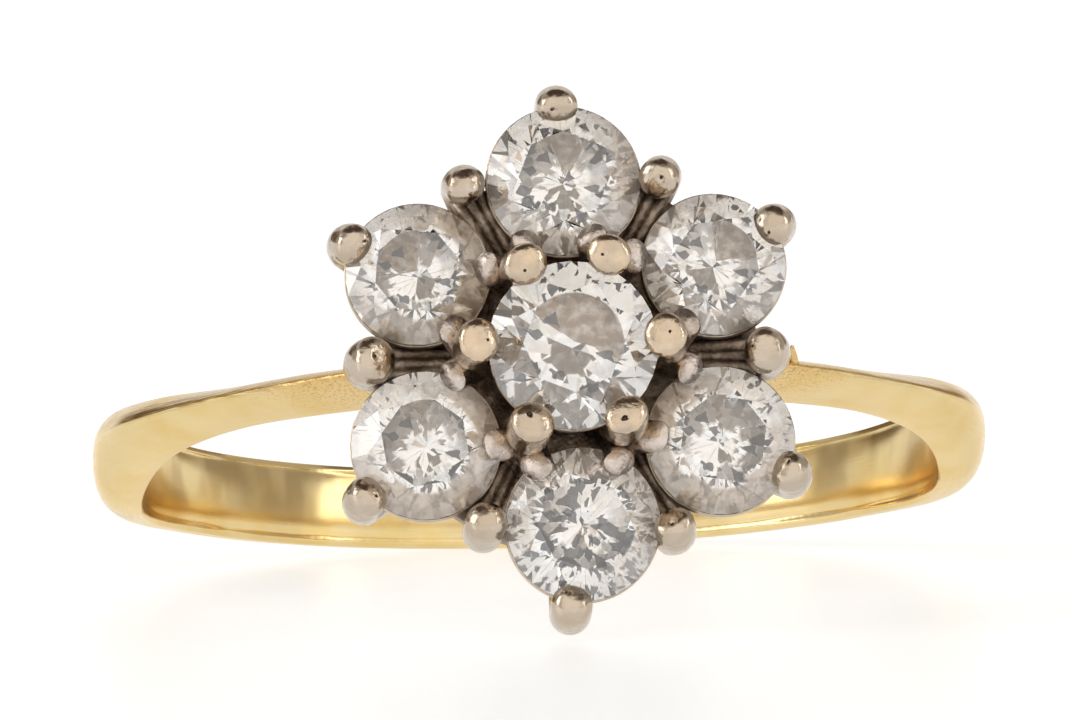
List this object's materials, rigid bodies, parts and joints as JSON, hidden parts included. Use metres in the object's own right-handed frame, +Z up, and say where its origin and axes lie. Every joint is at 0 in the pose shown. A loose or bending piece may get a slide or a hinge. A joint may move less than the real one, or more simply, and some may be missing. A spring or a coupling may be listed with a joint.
{
  "type": "cluster ring",
  "caption": "Cluster ring of yellow gold: a raised round stone inside a circle of round stones, in one white claw setting on a plain shank with knife-edged shoulders.",
  "frame": {"origin": "on the floor under the middle of the ring's box, with the ring lying on its side", "axes": "+Z up, -Y the way the stones face, +X to the right of somebody who looks at the stones"},
  "size_m": [0.0192, 0.0247, 0.0113],
  "materials": {
    "yellow_gold": "polished, worn",
    "white_gold": "polished, worn",
    "diamond": "faceted"
  },
  "bodies": {
    "root": {"shank": "yellow_gold", "setting": "white_gold", "centre_stone": "diamond", "outer_stone_1": "diamond", "outer_stone_2": "diamond", "outer_stone_3": "diamond", "outer_stone_4": "diamond", "outer_stone_5": "diamond", "outer_stone_6": "diamond"}
  },
  "joints": []
}
